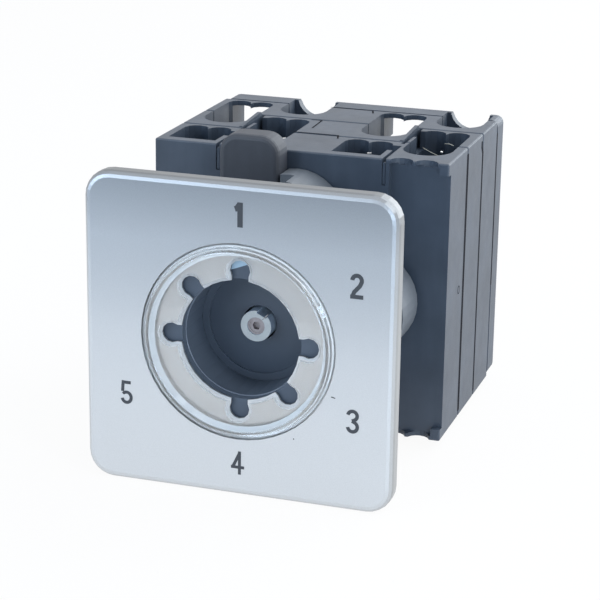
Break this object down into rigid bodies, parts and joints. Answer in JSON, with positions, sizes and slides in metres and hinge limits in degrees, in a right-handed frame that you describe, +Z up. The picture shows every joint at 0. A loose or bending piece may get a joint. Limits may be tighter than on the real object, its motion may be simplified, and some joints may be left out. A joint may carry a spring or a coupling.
{
  "type": "rotary cam switch",
  "caption": "Panel-mount rotary cam switch without its handle: numbered front plate, keyed shaft end, latch housing with a locking slide, and stacked contact cells with screw terminals.",
  "frame": {"origin": "bottom centre of the bounding box, below the shaft axis, level with the front plate's lower edge", "axes": "+Y from the front plate to the rear along the shaft, +Z up, +X to the right as seen from the front"},
  "size_m": [0.048, 0.0658, 0.0494],
  "materials": {
    "clear_moulding": "clear, glossy",
    "satin_silver": "satin",
    "black_moulding": "slightly glossy moulding",
    "grey_moulding": "fine matt moulding",
    "dark_moulding": "fine matt moulding",
    "black_rubber": "matt",
    "natural_moulding": "natural",
    "plated_steel": "zinc plated",
    "brass_strip": "satin",
    "shaft_metal": "cast, light grey"
  },
  "bodies": {
    "switch": {"clear_ring": "clear_moulding", "legend_plate": "satin_silver", "mounting_base": "black_moulding", "cell_1": "black_moulding", "cell_2": "black_moulding", "cell_3": "black_moulding", "end_plate": "black_moulding", "panel_gasket": "black_rubber", "ring_nut": "dark_moulding", "latch_housing": "grey_moulding", "tie_bolt_top": "plated_steel", "tie_bolt_bottom": "plated_steel", "detent_spring_left": "plated_steel", "detent_spring_right": "plated_steel", "contact_spring_1_left": "plated_steel", "terminal_1_left_top": "brass_strip", "terminal_screw_1_left_top": "plated_steel", "terminal_1_left_bottom": "brass_strip", "terminal_screw_1_left_bottom": "plated_steel", "pusher_1_right": "natural_moulding", "bridge_1_right": "brass_strip", "contact_spring_1_right": "plated_steel", "terminal_1_right_top": "brass_strip", "terminal_screw_1_right_top": "plated_steel", "terminal_1_right_bottom": "brass_strip", "terminal_screw_1_right_bottom": "plated_steel", "pusher_2_left": "natural_moulding", "bridge_2_left": "brass_strip", "contact_spring_2_left": "plated_steel", "terminal_2_left_top": "brass_strip", "terminal_screw_2_left_top": "plated_steel", "terminal_2_left_bottom": "brass_strip", "terminal_screw_2_left_bottom": "plated_steel", "pusher_2_right": "natural_moulding", "bridge_2_right": "brass_strip", "contact_spring_2_right": "plated_steel", "terminal_2_right_top": "brass_strip", "terminal_screw_2_right_top": "plated_steel", "terminal_2_right_bottom": "brass_strip", "terminal_screw_2_right_bottom": "plated_steel", "pusher_3_left": "natural_moulding", "bridge_3_left": "brass_strip", "contact_spring_3_left": "plated_steel", "terminal_3_left_top": "brass_strip", "terminal_screw_3_left_top": "plated_steel", "terminal_3_left_bottom": "brass_strip", "terminal_screw_3_left_bottom": "plated_steel"},
    "rotor": {"shaft": "shaft_metal", "shaft_screw": "plated_steel", "drive_disc": "black_moulding", "stop_disc": "plated_steel", "star_wheel": "natural_moulding", "cam_1": "natural_moulding", "cam_2": "natural_moulding", "cam_3": "natural_moulding"},
    "lock": {"lock_slide": "dark_moulding"},
    "left_latch": {"detent_plunger_left": "natural_moulding"},
    "right_latch": {"detent_plunger_right": "natural_moulding"},
    "contact_one": {"pusher_1_left": "natural_moulding", "bridge_1_left": "brass_strip"}
  },
  "joints": [
    {"name": "shaft_turn", "type": "hinge", "parent": "switch", "child": "rotor", "pos_m": [0, -0.0099, 0.024], "axis": [0, 1, 0], "range_deg": [0, 240]},
    {"name": "lock_lift", "type": "slide", "parent": "switch", "child": "lock", "axis": [0, 0, 1], "range_m": [0, 0.0025]},
    {"name": "left_latch_press", "type": "slide", "parent": "switch", "child": "left_latch", "axis": [-1, 0, 0], "range_m": [-0.001, 0], "stiffness_N_per_m": 800, "springref_m": -0.003, "deforming": ["detent_spring_left"]},
    {"name": "right_latch_press", "type": "slide", "parent": "switch", "child": "right_latch", "axis": [1, 0, 0], "range_m": [-0.001, 0], "stiffness_N_per_m": 800, "springref_m": -0.003, "deforming": ["detent_spring_right"]},
    {"name": "contact_one_close", "type": "slide", "parent": "switch", "child": "contact_one", "axis": [-1, 0, 0], "range_m": [-0.0015, 0], "stiffness_N_per_m": 500, "springref_m": -0.003, "deforming": ["contact_spring_1_left"]}
  ]
}
